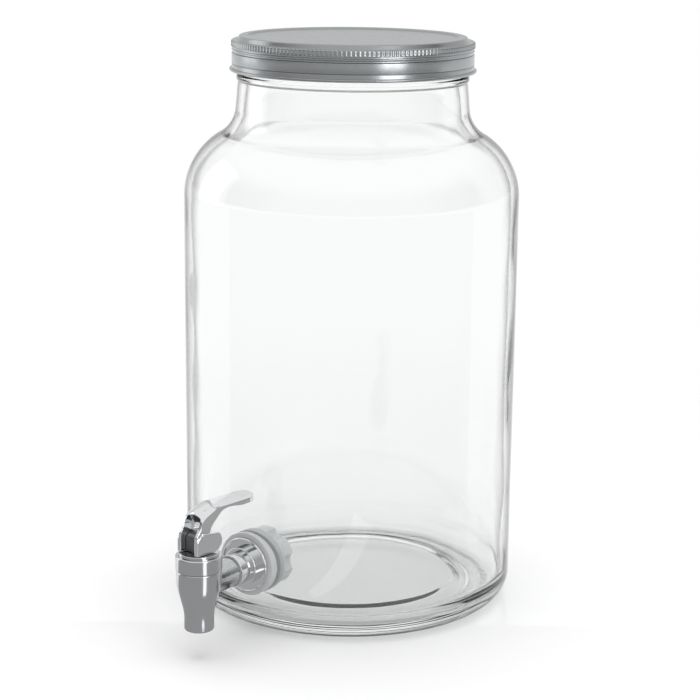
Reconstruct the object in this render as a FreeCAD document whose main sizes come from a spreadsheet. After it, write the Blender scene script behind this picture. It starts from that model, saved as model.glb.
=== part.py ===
import FreeCAD, Part
import os
import re
from math import atan2, sqrt, tan

import Sketcher

# Beverage dispenser: a glass jar with a steel screw lid and a lever tap.
# Frame: the jar's axis is Z, the standing surface is z = 0, the tap points along -Y.
# Millimetres throughout; angles in degrees.

doc = FreeCAD.newDocument("BeverageDispenser")
sheet = doc.addObject("Spreadsheet::Sheet", "Sizes")

SIZES = {
    # glass jar
    "jar_radius": 90.0,
    "jar_height": 303.3,
    "jar_wall": 4.2,
    "heel_radius": 14.0,
    "bearing_width": 7.0,
    "punt_radius": 60.0,
    "punt_rise": 4.5,
    "floor_thickness": 6.5,
    "floor_step": 2.6,
    "inner_heel_radius": 11.0,
    "shoulder_radius": 38.0,
    "throat_radius": 18.0,
    "neck_taper": 5.0,
    "neck_taper_height": 14.5,
    "neck_radius": 60.2,
    "neck_wall": 4.2,
    "bead_height": 3.5,
    "bead_foot_proud": 0.9,
    "bead_arc_radius": 4.4,
    "lip_round": 1.2,
    "thread_pitch": 5.0,
    "thread_turns": 1.25,
    "thread_depth": 2.2,
    "thread_foot_width": 3.6,
    "thread_crest_width": 1.4,
    "thread_start_gap": 3.4,
    # steel lid and its lining
    "lid_height": 18.5,
    "lid_sheet": 0.6,
    "lid_foot_gap": 1.5,
    "lid_thread_gap": 0.6,
    "skirt_wall": 1.3,
    "curl_proud": 1.3,
    "curl_height": 1.6,
    "lower_band_top": 3.6,
    "roll_line_width": 0.5,
    "roll_line_depth": 0.35,
    "groove_depth": 0.8,
    "groove_height": 1.5,
    "lid_bead_height": 0.8,
    "waist_depth": 0.4,
    "waist_height": 1.7,
    "knurl_proud": 0.3,
    "knurl_height": 3.3,
    "panel_drop": 0.8,
    "rim_inset": 0.4,
    "rim_overhang": 0.1,
    "rim_rise": 2.3,
    "rim_slope": 0.9,
    "rim_dip": 0.35,
    "seal_height": 3.6,
    "seal_side_gap": 0.1,
    # tap: where it stands, and its casing
    "tap_standoff": 42.0,
    "shank_level": 39.0,
    "nozzle_drop": 23.5,
    "barrel_rise": 8.7,
    "barrel_radius": 11.7,
    "barrel_wall": 2.1,
    "barrel_straight": 3.2,
    "barrel_arc_radius": 36.0,
    "barrel_taper": 15.5,
    "nozzle_radius": 7.6,
    "nozzle_arc_radius": 28.0,
    "nozzle_wall": 2.2,
    "nozzle_lip_round": 1.0,
    "seat_radius": 3.8,
    "seat_drop": 6.0,
    "seat_lip_width": 1.2,
    "seat_lip_height": 1.2,
    "seat_thickness": 4.0,
    "chamber_shoulder": 1.2,
    "spigot_length": 3.2,
    "spigot_fit": 0.05,
    "bonnet_seal_height": 0.7,
    "tail_radius": 7.7,
    "tail_end": 24.0,
    "tail_wall": 2.1,
    # bonnet
    "bonnet_proud": 0.3,
    "bonnet_ring_height": 7.9,
    "hub_inset": 1.6,
    "hub_height": 1.6,
    "bonnet_edge_round": 0.8,
    "seam_round": 0.8,
    "spigot_wall": 3.2,
    "well_rise": 4.3,
    "bush_radius": 4.0,
    "bush_flange_gap": 0.8,
    "bush_flange_height": 1.2,
    "bush_fit": 0.02,
    "stem_radius": 2.0,
    "stem_fit": 0.06,
    "stem_seal_radius": 0.8,
    "stem_seal_gap": 0.08,
    "gland_gap": 0.04,
    # valve
    "plug_side_gap": 2.0,
    "plug_height": 4.0,
    "plug_rest_gap": 0.1,
    "plug_cover": 1.4,
    "stem_foot_height": 1.2,
    "stem_barb_radius": 3.1,
    "stem_barb_height": 1.4,
    "plug_bore_radius": 1.7,
    "spring_side_gap": 1.6,
    "spring_wire_radius": 0.4,
    "spring_turns": 5.0,
    "spring_end_gap": 0.1,
    # lever, its head and its pin
    "lever_swivel": 8.0,
    "lever_rest_gap": 0.2,
    "cam_radius": 6.0,
    "cam_offset": 3.6,
    "cam_rise": 0.5,
    "fork_width": 15.0,
    "fork_front": 7.8,
    "fork_rise": 5.1,
    "cheek_wall": 2.5,
    "arm_inset": 0.7,
    "arm_length": 36.0,
    "arm_rise": 18.6,
    "arm_thickness": 2.6,
    "pad_thickness": 3.9,
    "pad_dish_depth": 0.9,
    "pad_dish_radius": 17.0,
    "slot_rise": 14.0,
    "head_side_gap": 0.3,
    "head_depth": 8.4,
    "head_foot_gap": 0.3,
    "stem_socket_fit": 0.05,
    "stem_socket_depth": 3.0,
    "pin_radius": 1.25,
    "pin_fit": 0.04,
    "pin_bite": 1.3,
    "pin_end_gap": 0.1,
    # shank, flange and fixings through the glass
    "shank_radius": 7.6,
    "shank_hole_gap": 0.9,
    "shank_spigot_length": 7.0,
    "shank_wall": 1.8,
    "shank_fit": 0.04,
    "shank_end_past_nut": 3.0,
    "shank_seal_height": 1.0,
    "shank_seal_inset": 0.1,
    "seam_ring_inset": 0.24,
    "seam_ring_height": 0.9,
    "sleeve_wall": 0.8,
    "collar_proud": 1.8,
    "collar_height": 3.2,
    "flange_radius": 14.6,
    "flange_height": 2.4,
    "flange_lip": 1.1,
    "flange_dish": 1.0,
    "washer_overlap": 2.2,
    "washer_fit": 0.05,
    "outer_washer_height": 3.0,
    "inner_washer_height": 4.4,
    "nut_inset": 0.8,
    "nut_height": 9.0,
    "nut_flange_height": 2.0,
    "nut_lobes": 6,
    "scallop_radius": 6.0,
    "scallop_depth": 2.2,
}

for row, (alias, number) in enumerate(SIZES.items(), start=1):
    sheet.set(f"A{row}", alias)
    sheet.set(f"B{row}", str(number))
    sheet.setAlias(f"B{row}", alias)
doc.recompute()


def bound(text):
    """Write a formula of named sizes the way the document's expressions name them."""
    return re.sub(r"\b[a-z]+(?:_[a-z]+)+\b", lambda word: "Sizes." + word.group(0), str(text))


def value(text):
    """The number that a formula of named sizes gives now."""
    number = sheet.evalExpression(bound(text))
    return float(getattr(number, "Value", number))


def origin_plane(body, role):
    return next(plane for plane in body.Origin.OriginFeatures if plane.Role == role)


def new_sketch(body, name, plane):
    sketch = body.newObject("Sketcher::SketchObject", name)
    sketch.AttachmentSupport = (origin_plane(body, plane), [""])
    sketch.MapMode = "FlatFace"
    return sketch


class Arc:
    """A round stretch of an outline: its radius, and whether it turns left or right."""

    def __init__(self, radius, turn):
        self.radius = radius
        self.left = turn == "left"


def arc_between(start, end, radius, left):
    """The shorter arc from start to end, with the sketch's numbers for its two ends."""
    chord = end - start
    half = chord.Length / 2
    side = FreeCAD.Vector(-chord.y, chord.x, 0).normalize()
    reach = sqrt(max(radius * radius - half * half, 0.0))
    centre = start + chord * 0.5 + side * (reach if left else -reach)
    first, last = (start, end) if left else (end, start)
    angles = [atan2(p.y - centre.y, p.x - centre.x) for p in (first, last)]
    circle = Part.Circle(centre, FreeCAD.Vector(0, 0, 1), radius)
    return Part.ArcOfCircle(circle, *angles), (1, 2) if left else (2, 1)


def draw_outline(sketch, items):
    """Draw one closed outline. A corner is (x, y) or (x, y, rounding); an Arc between
    two corners makes that side round. Every size is bound to the sheet."""
    corners = [item for item in items if not isinstance(item, Arc)]
    sides = []
    for index, item in enumerate(items):
        if isinstance(item, Arc):
            continue
        following = items[(index + 1) % len(items)]
        sides.append(following if isinstance(following, Arc) else None)
    count = len(corners)
    points = [FreeCAD.Vector(value(c[0]), value(c[1]), 0) for c in corners]

    # where each rounded corner's arc leaves its two straight sides
    before, after = list(points), list(points)
    for i, corner in enumerate(corners):
        if len(corner) < 3:
            continue
        to_last = (points[i - 1] - points[i]).normalize()
        to_next = (points[(i + 1) % count] - points[i]).normalize()
        run = value(corner[2]) / tan(to_last.getAngle(to_next) / 2)
        before[i] = points[i] + to_last * run
        after[i] = points[i] + to_next * run

    ties, sizes = [], []
    side_ids, side_ends = [], []
    for i in range(count):
        start, end = after[i], before[(i + 1) % count]
        if sides[i] is None:
            geometry, ends = Part.LineSegment(start, end), (1, 2)
        else:
            geometry, ends = arc_between(start, end, value(sides[i].radius), sides[i].left)
        side_ids.append(sketch.addGeometry(geometry, False))
        side_ends.append(ends)
        if sides[i] is not None:
            sizes.append(("Radius", side_ids[i], sides[i].radius))

    for i, corner in enumerate(corners):
        last, this = side_ids[i - 1], side_ids[i]
        last_end, this_start = side_ends[i - 1][1], side_ends[i][0]
        if len(corner) < 3:
            ties.append(Sketcher.Constraint("Coincident", last, last_end, this, this_start))
            place = (this, this_start)
        else:
            turn = (points[i] - before[i]).cross(after[i] - points[i]).z
            arc, ends = arc_between(before[i], after[i], value(corner[2]), turn > 0)
            round_id = sketch.addGeometry(arc, False)
            mark = sketch.addGeometry(Part.Point(points[i]), True)
            ties.append(Sketcher.Constraint("Tangent", last, last_end, round_id, ends[0]))
            ties.append(Sketcher.Constraint("Tangent", round_id, ends[1], this, this_start))
            ties.append(Sketcher.Constraint("PointOnObject", mark, 1, last))
            ties.append(Sketcher.Constraint("PointOnObject", mark, 1, this))
            sizes.append(("Radius", round_id, corner[2]))
            place = (mark, 1)
        sizes.append(("DistanceX", place, corner[0]))
        sizes.append(("DistanceY", place, corner[1]))

    sketch.addConstraint(ties)
    for kind, target, formula in sizes:
        if kind == "Radius":
            number = sketch.addConstraint(Sketcher.Constraint(kind, target, value(formula)))
        else:
            number = sketch.addConstraint(Sketcher.Constraint(kind, -1, 1, *target, value(formula)))
        sketch.setExpression(f"Constraints[{number}]", bound(formula))


def turned(name, items, at=None, along_shank=False):
    """A body turned about its own axis from one closed outline of (radius, height)."""
    body = doc.addObject("PartDesign::Body", name)
    sketch = new_sketch(body, name + "_outline", "XZ_Plane")
    draw_outline(sketch, items)
    turn = body.newObject("PartDesign::Revolution", name + "_turned")
    turn.Profile = sketch
    turn.ReferenceAxis = (sketch, ["V_Axis"])
    turn.Angle = 360
    place(body, at or {}, along_shank)
    return body


def place(body, at, along_shank=False):
    """Put a body where the formulas in `at` say; along the shank its axis is +Y."""
    if along_shank:
        body.Placement.Rotation = FreeCAD.Rotation(FreeCAD.Vector(1, 0, 0), -90)
    for axis, formula in at.items():
        body.setExpression(f"Placement.Base.{axis}", bound(formula))


def prism(body, name, items, plane, length, kind="PartDesign::Pad"):
    """Pad or pocket one outline evenly to both sides of an origin plane."""
    sketch = new_sketch(body, name + "_outline", plane)
    draw_outline(sketch, items)
    doc.recompute()
    feature = body.newObject(kind, name)
    feature.Profile = sketch
    feature.SideType = "Symmetric"
    feature.Type = "Length"
    feature.setExpression("Length", bound(length))
    doc.recompute()
    return feature


def circle_sketch(body, name, plane, radius, x="0", y="0"):
    """A circle whose radius and centre are bound to the sheet."""
    sketch = new_sketch(body, name, plane)
    centre = FreeCAD.Vector(value(x), value(y), 0)
    sketch.addGeometry(Part.Circle(centre, FreeCAD.Vector(0, 0, 1), value(radius)), False)
    for kind, formula in (("Radius", radius), ("DistanceX", x), ("DistanceY", y)):
        target = (0,) if kind == "Radius" else (-1, 1, 0, 3)
        number = sketch.addConstraint(Sketcher.Constraint(kind, *target, value(formula)))
        sketch.setExpression(f"Constraints[{number}]", bound(formula))
    return sketch


def bore(body, name, plane, radius, offset, length, level="0", kind="PartDesign::Pocket",
         reverse=False):
    """Cut (or pad) a circle, starting at an offset along an origin plane's normal."""
    sketch = circle_sketch(body, name + "_outline", plane, radius, "0", level)
    sketch.setExpression("AttachmentOffset.Base.z", bound(offset))
    doc.recompute()
    feature = body.newObject(kind, name)
    feature.Profile = sketch
    feature.Type = "Length"
    feature.Reversed = reverse
    feature.setExpression("Length", bound(length))
    doc.recompute()
    return feature


# ---------------------------------------------------------------- shared formulas

tap_reach = "(jar_radius + tap_standoff)"
TAP = {"y": f"-{tap_reach}"}
SHANK = {"y": f"-{tap_reach}", "z": "shank_level"}

# the finish is the part of the neck that the lid covers
finish_foot = "(jar_height + seal_height + lid_sheet - lid_height - lid_foot_gap)"
neck_bore = "(neck_radius - neck_wall)"

# levels in the tap
nozzle_level = "(shank_level - nozzle_drop)"
barrel_top = "(shank_level + barrel_rise)"
spigot_foot = f"({barrel_top} - spigot_length)"
chamber_top = f"({spigot_foot} - bonnet_seal_height)"
seat_level = "(shank_level - seat_drop)"
chamber_floor = f"({seat_level} - seat_lip_height)"
well_roof = f"({barrel_top} + well_rise)"
hub_top = f"({barrel_top} + bonnet_ring_height + hub_height)"
plug_foot = f"({seat_level} + plug_rest_gap)"
plug_top = f"({plug_foot} + plug_height)"
pin_level = f"({hub_top} + lever_rest_gap + cam_radius - cam_rise)"
head_foot = f"({hub_top} + head_foot_gap)"

# radii in the tap
spigot_radius = "(barrel_radius - barrel_wall)"
chamber_radius = f"({spigot_radius} - chamber_shoulder)"
bonnet_radius = "(barrel_radius + bonnet_proud)"
hub_radius = f"({bonnet_radius} - hub_inset)"
well_radius = f"({spigot_radius} - spigot_wall)"
spring_radius = f"({well_radius} - spring_wire_radius - spring_side_gap)"
stem_foot_radius = f"({spring_radius} + 3 * spring_wire_radius)"
shank_spigot = "(tail_radius - tail_wall)"
waterway = f"({shank_spigot} - shank_wall)"
thread_bore = "(shank_radius + shank_fit)"
sleeve_radius = f"({thread_bore} + sleeve_wall)"
collar_radius = f"({sleeve_radius} + collar_proud)"
washer_radius = "(flange_radius + washer_overlap)"
nut_radius = f"({washer_radius} - nut_inset)"
slot_width = "(fork_width - 2 * cheek_wall)"
arm_width = "(fork_width - 2 * arm_inset)"

parts = []


def keep(body):
    body.Label = body.Name
    parts.append(body)
    return body


# ---------------------------------------------------------------- glass jar

# the shoulder turns out of the wall, then the throat turns back into a tapered neck
TAPER_SIN, TAPER_COS = "sin(neck_taper)", "cos(neck_taper)"
neck_foot = f"({finish_foot} - bead_height)"
throat_top = f"({neck_foot} - neck_taper_height)"
throat_top_radius = "(neck_radius + bead_foot_proud + neck_taper_height * tan(neck_taper))"
LEAN_COS = (f"((shoulder_radius + throat_radius * {TAPER_COS} - jar_radius + {throat_top_radius})"
            " / (shoulder_radius + throat_radius))")
LEAN_SIN = f"sqrt(1 - {LEAN_COS} * {LEAN_COS})"
turn_radius = f"(jar_radius - shoulder_radius * (1 - {LEAN_COS}))"
turn_height = f"({throat_top} - throat_radius * ({LEAN_SIN} - {TAPER_SIN}))"
shoulder_foot = f"({turn_height} - shoulder_radius * {LEAN_SIN})"
floor_top = "(punt_rise + floor_thickness)"
side_floor = "(punt_rise + floor_thickness - floor_step)"
bearing_in = "(jar_radius - heel_radius - bearing_width)"


def glass_jar():
    body = turned("glass_jar", [
        ("0", "punt_rise"),
        ("punt_radius", "punt_rise", "1.5"),
        ("punt_radius + 1.5", "punt_rise - 2", "1.5"),
        (f"{bearing_in} - 3", "punt_rise - 2.6", "2"),
        (bearing_in, "0", "1"),
        ("jar_radius - heel_radius", "0"),
        Arc("heel_radius", "left"),
        ("jar_radius", "heel_radius"),
        ("jar_radius", shoulder_foot),
        Arc("shoulder_radius", "left"),
        (turn_radius, turn_height),
        Arc("throat_radius", "right"),
        (throat_top_radius, throat_top),
        ("neck_radius + bead_foot_proud", neck_foot),
        Arc("bead_arc_radius", "left"),
        ("neck_radius", finish_foot),
        ("neck_radius", "jar_height", "lip_round"),
        (neck_bore, "jar_height", "lip_round"),
        (neck_bore, neck_foot, "20"),
        (f"{throat_top_radius} - jar_wall * {TAPER_COS}", f"{throat_top} - jar_wall * {TAPER_SIN}"),
        Arc("throat_radius + jar_wall", "left"),
        (f"{turn_radius} - jar_wall * {LEAN_COS}", f"{turn_height} - jar_wall * {LEAN_SIN}"),
        Arc("shoulder_radius - jar_wall", "right"),
        ("jar_radius - jar_wall", shoulder_foot),
        ("jar_radius - jar_wall", f"{side_floor} + inner_heel_radius"),
        Arc("inner_heel_radius", "right"),
        ("jar_radius - jar_wall - inner_heel_radius", side_floor),
        ("punt_radius + floor_step", side_floor, "1.2"),
        ("punt_radius", floor_top, "1.2"),
        ("0", floor_top),
    ])
    doc.recompute()

    thread = new_sketch(body, "thread_outline", "XZ_Plane")
    foot, crest = "thread_foot_width / 2", "thread_crest_width / 2"
    start = f"({finish_foot} + thread_start_gap)"
    draw_outline(thread, [
        ("neck_radius - 0.5", f"{start} - {foot}"),
        ("neck_radius", f"{start} - {foot}"),
        ("neck_radius + thread_depth", f"{start} - {crest}"),
        ("neck_radius + thread_depth", f"{start} + {crest}"),
        ("neck_radius", f"{start} + {foot}"),
        ("neck_radius - 0.5", f"{start} + {foot}"),
    ])
    doc.recompute()
    ridge = body.newObject("PartDesign::AdditiveHelix", "glass_jar_thread")
    ridge.Profile = thread
    ridge.ReferenceAxis = (thread, ["V_Axis"])
    ridge.Mode = "pitch-turns-angle"
    ridge.setExpression("Pitch", bound("thread_pitch"))
    ridge.setExpression("Turns", bound("thread_turns"))

    bore(body, "tap_hole", "XZ_Plane", "shank_radius + shank_hole_gap", "0", "jar_radius + 5",
         level="shank_level", reverse=True)
    return keep(body)


# ---------------------------------------------------------------- lid and its seal

lid_foot = f"({finish_foot} + lid_foot_gap)"


def lid_level(text):
    return f"{lid_foot} + {text}"


skirt_in = "(neck_radius + thread_depth + lid_thread_gap)"
skirt_out = f"({skirt_in} + skirt_wall)"
curl_radius = f"({skirt_out} + curl_proud)"
rim_in, rim_out = f"({neck_bore} + rim_inset)", "(neck_radius + rim_overhang)"
shoulder_level = lid_level("lid_height - rim_rise")
panel_level = lid_level("lid_height - panel_drop")
channel_roof = lid_level("lid_height - lid_sheet")
knurl_foot = "(lid_height - rim_rise - knurl_height)"
waist_foot = f"({knurl_foot} - waist_height)"
groove_foot = f"({waist_foot} - lid_bead_height - groove_height)"
bead_foot = f"({waist_foot} - lid_bead_height)"


def lid_shell():
    return keep(turned("lid_shell", [
        (skirt_in, lid_foot, "0.3"),
        (curl_radius, lid_foot, "0.7"),
        (curl_radius, lid_level("curl_height"), "0.7"),
        (skirt_out, lid_level("curl_height")),
        (skirt_out, lid_level("lower_band_top")),
        (f"{skirt_out} - roll_line_depth", lid_level("lower_band_top + roll_line_width / 2")),
        (skirt_out, lid_level("lower_band_top + roll_line_width")),
        (skirt_out, lid_level(groove_foot), "0.3"),
        (f"{skirt_out} - groove_depth", lid_level(f"{groove_foot} + 0.4")),
        (f"{skirt_out} - groove_depth", lid_level(bead_foot)),
        (skirt_out, lid_level(f"{bead_foot} + 0.3"), "0.2"),
        (skirt_out, lid_level(waist_foot), "0.2"),
        (f"{skirt_out} - waist_depth", lid_level(f"{waist_foot} + 0.4")),
        (f"{skirt_out} - waist_depth", lid_level(f"{knurl_foot} - 0.3")),
        (f"{skirt_out} + knurl_proud", lid_level(knurl_foot)),
        (f"{skirt_out} + knurl_proud", shoulder_level, "0.9"),
        (f"{rim_out} + rim_slope", f"{shoulder_level} - rim_dip", "0.4"),
        (rim_out, lid_level("lid_height"), "0.9"),
        (rim_in, lid_level("lid_height"), "0.9"),
        (f"{rim_in} - 0.6", panel_level, "0.3"),
        ("0", panel_level),
        ("0", f"{panel_level} - lid_sheet"),
        (f"{rim_in} + 0.1", f"{panel_level} - lid_sheet"),
        (f"{rim_in} + 0.1", channel_roof),
        (f"{rim_out} - 0.2", channel_roof),
        (f"{rim_out} - 0.2", f"{shoulder_level} - rim_dip - lid_sheet"),
        (skirt_in, f"{shoulder_level} - rim_dip - lid_sheet"),
    ]))


def lid_seal():
    return keep(turned("lid_seal", [
        (f"{rim_in} + 0.1 + seal_side_gap", "jar_height"),
        (f"{rim_out} - 0.2 - seal_side_gap", "jar_height"),
        (f"{rim_out} - 0.2 - seal_side_gap", "jar_height + seal_height", "0.6"),
        (f"{rim_in} + 0.1 + seal_side_gap", "jar_height + seal_height", "0.6"),
    ]))


# ---------------------------------------------------------------- tap casing

barrel_turn = f"({barrel_top} - barrel_straight)"
barrel_turn_end = f"({barrel_turn} - barrel_arc_radius * sin(barrel_taper))"
barrel_turn_radius = "(barrel_radius - barrel_arc_radius * (1 - cos(barrel_taper)))"
nozzle_turn_radius = "(nozzle_radius + nozzle_arc_radius * (1 - cos(barrel_taper)))"
nozzle_turn = f"({barrel_turn_end} - ({barrel_turn_radius} - {nozzle_turn_radius}) / tan(barrel_taper))"
nozzle_straight = f"({nozzle_turn} - nozzle_arc_radius * sin(barrel_taper))"
nozzle_bore = "(nozzle_radius - nozzle_wall)"


def tap_body():
    body = turned("tap_body", [
        (nozzle_bore, nozzle_level),
        ("nozzle_radius", nozzle_level, "nozzle_lip_round"),
        ("nozzle_radius", nozzle_straight),
        Arc("nozzle_arc_radius", "right"),
        (nozzle_turn_radius, nozzle_turn),
        (barrel_turn_radius, barrel_turn_end),
        Arc("barrel_arc_radius", "left"),
        ("barrel_radius", barrel_turn),
        ("barrel_radius", barrel_top, "seam_round"),
        (f"{spigot_radius} + spigot_fit", barrel_top),
        (f"{spigot_radius} + spigot_fit", chamber_top),
        (chamber_radius, chamber_top),
        (chamber_radius, chamber_floor, "0.6"),
        ("seat_radius + seat_lip_width", chamber_floor),
        ("seat_radius + seat_lip_width", seat_level, "0.3"),
        ("seat_radius", seat_level, "0.3"),
        ("seat_radius", f"{seat_level} - seat_thickness"),
        (nozzle_bore, f"{seat_level} - seat_thickness"),
    ], TAP)
    doc.recompute()

    # the tail that takes the shank starts in the barrel's wall
    tail_start = f"({spigot_radius} - 0.9)"
    bore(body, "tap_tail", "XZ_Plane", "tail_radius", f"-{tail_start}",
         f"tail_end - {tail_start}", level="shank_level", kind="PartDesign::Pad", reverse=True)
    bore(body, "bonnet_room", "XY_Plane", f"{bonnet_radius} + 0.3", f"{barrel_top} + tail_radius",
         "tail_radius")
    bore(body, "spigot_room", "XY_Plane", f"{spigot_radius} + spigot_fit", barrel_top,
         "spigot_length + bonnet_seal_height")
    bore(body, "tap_waterway", "XZ_Plane", waterway, f"2 - {chamber_radius}",
         f"tail_end - {chamber_radius} + 3", level="shank_level")
    bore(body, "shank_socket", "XZ_Plane", f"{shank_spigot} + shank_fit",
         "shank_spigot_length + shank_seal_height - tail_end",
         "shank_spigot_length + shank_seal_height + 1", level="shank_level")
    return keep(body)


def bonnet():
    keep(turned("bonnet_ring", [
        (well_radius, spigot_foot),
        (spigot_radius, spigot_foot, "0.4"),
        (spigot_radius, barrel_top),
        (bonnet_radius, barrel_top, "seam_round"),
        (bonnet_radius, f"{barrel_top} + bonnet_ring_height", "bonnet_edge_round"),
        (hub_radius, f"{barrel_top} + bonnet_ring_height"),
        (hub_radius, hub_top, "0.4"),
        ("bush_radius + bush_fit", hub_top),
        ("bush_radius + bush_fit", well_roof),
        (well_radius, well_roof),
    ], TAP))
    gland = "(stem_radius + stem_seal_gap + 2 * stem_seal_radius + gland_gap)"
    gland_foot = f"({well_roof} + 1)"
    gland_roof = f"({gland_foot} + 2 * stem_seal_radius + 0.4)"
    flange_radius = f"({well_radius} - bush_flange_gap)"
    keep(turned("stem_bush", [
        ("stem_radius + stem_fit", f"{well_roof} - bush_flange_height"),
        (flange_radius, f"{well_roof} - bush_flange_height", "0.2"),
        (flange_radius, well_roof),
        ("bush_radius", well_roof),
        ("bush_radius", f"{hub_top} - 0.2"),
        ("stem_radius + stem_fit", f"{hub_top} - 0.2", "0.3"),
        ("stem_radius + stem_fit", gland_roof),
        (gland, gland_roof),
        (gland, gland_foot),
        ("stem_radius + stem_fit", gland_foot),
    ], TAP))
    keep(ring_seal("stem_seal", "stem_radius + stem_seal_gap + stem_seal_radius",
                   "stem_seal_radius",
                   {"y": f"-{tap_reach}", "z": f"({gland_foot} + {gland_roof}) / 2"}))
    keep(turned("bonnet_seal", [
        (f"{chamber_radius} + 0.1", chamber_top),
        (f"{spigot_radius} - 0.05", chamber_top),
        (f"{spigot_radius} - 0.05", spigot_foot),
        (f"{chamber_radius} + 0.1", spigot_foot),
    ], TAP))


def ring_seal(name, radius, wire, at, along_shank=False):
    """A round-section rubber ring."""
    body = doc.addObject("PartDesign::Body", name)
    sketch = circle_sketch(body, name + "_outline", "XZ_Plane", wire, radius, "0")
    turn = body.newObject("PartDesign::Revolution", name + "_turned")
    turn.Profile = sketch
    turn.ReferenceAxis = (sketch, ["V_Axis"])
    turn.Angle = 360
    place(body, at, along_shank)
    return body


# ---------------------------------------------------------------- valve

barb_top = f"({plug_top} - plug_cover)"
barb_foot = f"({barb_top} - stem_barb_height)"
plug_radius = f"({chamber_radius} - plug_side_gap)"


def valve():
    keep(turned("seat_plug", [
        ("0", plug_foot),
        (plug_radius, plug_foot, "0.6"),
        (plug_radius, plug_top, "0.5"),
        ("plug_bore_radius", plug_top),
        ("plug_bore_radius", barb_top),
        ("stem_barb_radius", barb_top),
        ("stem_barb_radius", barb_foot),
        ("0", barb_foot),
    ], TAP))
    foot_top = f"({plug_top} + stem_foot_height)"
    stem_top = f"({head_foot} + stem_socket_depth)"
    keep(turned("valve_stem", [
        ("0", barb_foot),
        ("stem_barb_radius", barb_foot, "0.3"),
        ("stem_barb_radius", barb_top),
        ("plug_bore_radius", barb_top),
        ("plug_bore_radius", plug_top),
        (stem_foot_radius, plug_top),
        (stem_foot_radius, foot_top, "0.2"),
        ("stem_radius", foot_top),
        ("stem_radius", stem_top, "0.3"),
        ("0", stem_top),
    ], TAP))

    spring = doc.addObject("PartDesign::Body", "return_spring")
    low = f"({foot_top} + spring_end_gap + spring_wire_radius)"
    high = f"({well_roof} - bush_flange_height - spring_end_gap - spring_wire_radius)"
    wire = circle_sketch(spring, "return_spring_wire", "XZ_Plane", "spring_wire_radius",
                         spring_radius, low)
    doc.recompute()
    coil = spring.newObject("PartDesign::AdditiveHelix", "return_spring_coil")
    coil.Profile = wire
    coil.ReferenceAxis = (wire, ["V_Axis"])
    coil.Mode = "height-turns-angle"
    coil.setExpression("Height", bound(f"{high} - {low}"))
    coil.setExpression("Turns", bound("spring_turns"))
    place(spring, TAP)
    keep(spring)


# ---------------------------------------------------------------- lever, head and pin

def swivelled(body):
    """Seat a lever piece on the tap's axis, turned by the lever's swivel."""
    turn = FreeCAD.Rotation(FreeCAD.Vector(0, 0, -1), value("lever_swivel"))
    body.Placement = FreeCAD.Placement(FreeCAD.Vector(), turn)
    body.setExpression("Placement.Rotation.Angle", bound("lever_swivel"))
    place(body, {"y": f"-{tap_reach}", "z": pin_level})
    return keep(body)


lever_foot = "(cam_rise - cam_radius)"


def lever_handle():
    """Seen from the side, with the pin at (0, 0) and the finger pad towards +x."""
    body = doc.addObject("PartDesign::Body", "lever_handle")
    prism(body, "lever_fork", [
        ("-fork_front", lever_foot, "0.5"),
        ("cam_offset", lever_foot),
        Arc("cam_radius", "left"),
        ("cam_offset + cam_radius", "cam_rise"),
        ("cam_offset + cam_radius - 1.1", "fork_rise - 1.2", "0.8"),
        ("-fork_front + 3.4", "fork_rise + 0.6"),
        ("-fork_front", "1.6", "3"),
    ], "YZ_Plane", "fork_width")
    prism(body, "lever_arm", [
        ("-fork_front + 0.15", "-2"),
        ("0.5", "2"),
        ("0.06 * arm_length + 0.9", "0.45 * arm_rise", "8"),
        ("0.286 * arm_length", "arm_rise - arm_thickness - 1.1", "6"),
        ("0.43 * arm_length", "arm_rise - arm_thickness", "10"),
        ("0.667 * arm_length", "arm_rise - pad_thickness - 0.1", "12"),
        ("arm_length - 1.2", "arm_rise - pad_thickness", "1.5"),
        ("arm_length", "arm_rise", "1.2"),
        ("0.222 * arm_length", "arm_rise - 0.3", "20"),
        ("-fork_front + 5.2", "arm_rise - 3", "6"),
        ("-fork_front + 0.15", "4", "7"),
    ], "YZ_Plane", arm_width)
    prism(body, "lever_slot", [
        ("-fork_front - 2", f"{lever_foot} - 2"),
        ("cam_offset + cam_radius + 3", f"{lever_foot} - 2"),
        ("cam_offset + cam_radius + 3", "0.27 * arm_rise"),
        ("2.5", "0.4 * arm_rise", "3"),
        ("-1.5", "slot_rise", "3"),
        ("-fork_front - 2", "slot_rise"),
    ], "YZ_Plane", slot_width, "PartDesign::Pocket")
    half, tip = f"{arm_width} / 2", "arm_length"
    prism(body, "lever_pad_end", [
        (f"-{half}", f"{tip} - {half}"),
        Arc(half, "right"),
        ("0", tip),
        Arc(half, "right"),
        (half, f"{tip} - {half}"),
        (f"{half} + 1", f"{tip} - {half}"),
        (f"{half} + 1", f"{tip} + 2"),
        (f"-{half} - 1", f"{tip} + 2"),
        (f"-{half} - 1", f"{tip} - {half}"),
    ], "XY_Plane", "2 * arm_rise + 2", "PartDesign::Pocket")
    prism_hole(body, "lever_pin_holes", "pin_radius + pin_fit",
               f"{slot_width} + 2 * (pin_bite + pin_end_gap)")

    dish = body.newObject("PartDesign::SubtractiveSphere", "lever_pad_dish")
    dish.setExpression("Radius", bound("pad_dish_radius"))
    dish.setExpression("Placement.Base.y", bound(f"{tip} - {half} - 0.4"))
    dish.setExpression("Placement.Base.z", bound("arm_rise + pad_dish_radius - pad_dish_depth"))
    doc.recompute()
    return swivelled(body)


def prism_hole(body, name, radius, length):
    """A hole across a lever piece, on the pin's axis and even on both sides."""
    sketch = circle_sketch(body, name + "_outline", "YZ_Plane", radius)
    doc.recompute()
    hole = body.newObject("PartDesign::Pocket", name)
    hole.Profile = sketch
    hole.SideType = "Symmetric"
    hole.Type = "Length"
    hole.setExpression("Length", bound(length))
    doc.recompute()


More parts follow.
